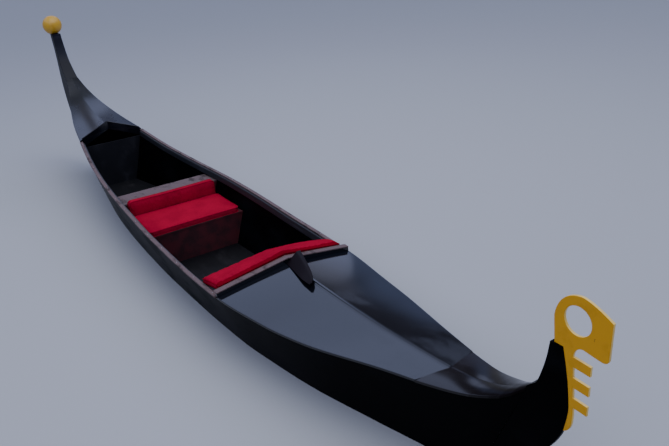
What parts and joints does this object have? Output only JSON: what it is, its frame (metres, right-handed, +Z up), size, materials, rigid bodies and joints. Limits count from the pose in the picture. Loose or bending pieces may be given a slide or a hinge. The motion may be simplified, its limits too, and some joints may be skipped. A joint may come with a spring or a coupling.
{
  "type": "gondola boat",
  "caption": "Long narrow flat-bottomed passenger gondola with an open cockpit, crowned decks, a toothed bow iron and a ball on its tall stern post.",
  "frame": {"origin": "under the middle of the boat's overall length, level with the underside of its two runners", "axes": "+X towards the bow, +Y to port, +Z up"},
  "size_m": [9.7327, 1.362, 2.258],
  "materials": {
    "gloss_black": "black gloss boat paint on marine plywood and timber",
    "grey_trim": "weathered grey paint on timber strips",
    "inner_black": "satin black paint on marine plywood",
    "seat_red": "dark red carpeted boards",
    "cushion_red": "bright red cloth over foam",
    "gold_paint": "golden yellow paint"
  },
  "bodies": {
    "root": {"hull_bottom": "gloss_black", "runner_port": "gloss_black", "runner_starboard": "gloss_black", "hull_side_starboard": "gloss_black", "hull_side_port": "gloss_black", "stem_post": "gloss_black", "stern_post": "gloss_black", "foredeck_starboard": "gloss_black", "foredeck_port": "gloss_black", "foredeck_ridge": "gloss_black", "bow_deck_starboard": "gloss_black", "bow_deck_port": "gloss_black", "afterdeck_starboard": "gloss_black", "afterdeck_port": "gloss_black", "front_coaming_board": "gloss_black", "aft_coaming": "gloss_black", "deck_horn": "gloss_black", "ball_collar": "gloss_black", "gunwale_starboard": "grey_trim", "gunwale_port": "grey_trim", "front_coaming_cap": "grey_trim", "locker_lid": "grey_trim", "inner_stringer_starboard": "inner_black", "inner_stringer_port": "inner_black", "front_bulkhead": "inner_black", "aft_bulkhead": "inner_black", "floor_frame": "inner_black", "sole_board_centre": "inner_black", "sole_board_port": "inner_black", "sole_board_starboard": "inner_black", "helmsman_platform": "inner_black", "locker_back_panel": "inner_black", "front_shelf": "inner_black", "seat_front_panel": "seat_red", "seat_top": "seat_red", "seat_back_panel": "seat_red", "seat_cushion": "cushion_red", "backrest_cushion": "cushion_red", "front_shelf_cover": "cushion_red", "bow_iron": "gold_paint", "stern_ball": "gold_paint"}
  },
  "joints": []
}
